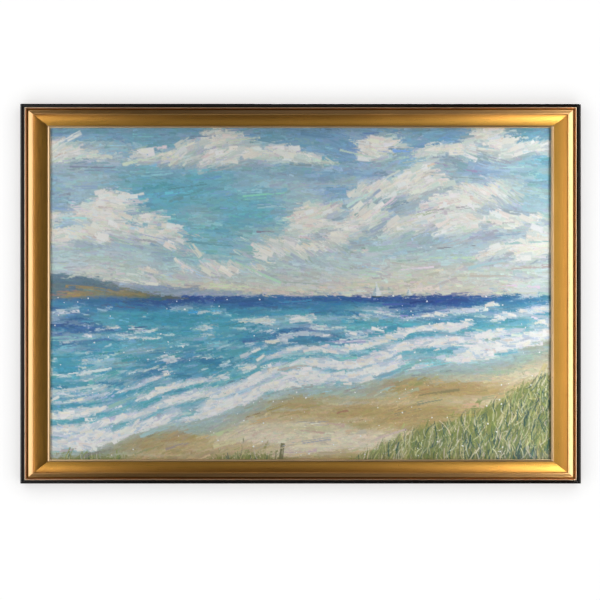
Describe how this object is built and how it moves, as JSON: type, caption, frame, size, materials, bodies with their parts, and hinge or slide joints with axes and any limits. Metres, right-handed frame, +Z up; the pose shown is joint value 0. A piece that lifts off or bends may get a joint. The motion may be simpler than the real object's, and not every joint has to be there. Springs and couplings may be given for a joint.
{
  "type": "framed oil painting",
  "caption": "Seascape in oils on stretched canvas, in a gilt moulded frame with a black outer edge, hung on a wall by a sawtooth hanger.",
  "frame": {"origin": "middle of the sawtooth hanger, on its flat face against the wall, 18 mm below the frame's top edge", "axes": "+X to the right as the painting is looked at, +Y from the painting into the wall, +Z up"},
  "size_m": [1.009, 0.045, 0.6837],
  "materials": {
    "gilt_moulding": "satin gilding with fine lengthwise streaks, warm brown in the hollows, satin black outer edge, bare wood at the back",
    "stretcher_wood": "planed bare pine",
    "painted_canvas": "oil paint with low relief under a satin varnish, raw linen at the back",
    "clip_steel": "zinc plated",
    "screw_steel": "zinc plated",
    "hanger_brass": "thin bright brass plating",
    "bumper_rubber": "matte black"
  },
  "bodies": {
    "root": {"frame_top_rail": "gilt_moulding", "frame_bottom_rail": "gilt_moulding", "frame_left_stile": "gilt_moulding", "frame_right_stile": "gilt_moulding", "stretcher_top_bar": "stretcher_wood", "stretcher_bottom_bar": "stretcher_wood", "stretcher_left_bar": "stretcher_wood", "stretcher_right_bar": "stretcher_wood", "stretcher_cross_bar": "stretcher_wood", "canvas": "painted_canvas", "clip_top_1": "clip_steel", "clip_top_2": "clip_steel", "clip_bottom_1": "clip_steel", "clip_bottom_2": "clip_steel", "clip_left_1": "clip_steel", "clip_right_1": "clip_steel", "clip_screw_top_1": "screw_steel", "clip_screw_top_2": "screw_steel", "clip_screw_bottom_1": "screw_steel", "clip_screw_bottom_2": "screw_steel", "clip_screw_left_1": "screw_steel", "clip_screw_right_1": "screw_steel", "sawtooth_hanger": "hanger_brass", "hanger_screw_1": "screw_steel", "hanger_screw_2": "screw_steel", "bumper_left": "bumper_rubber", "bumper_right": "bumper_rubber"}
  },
  "joints": []
}
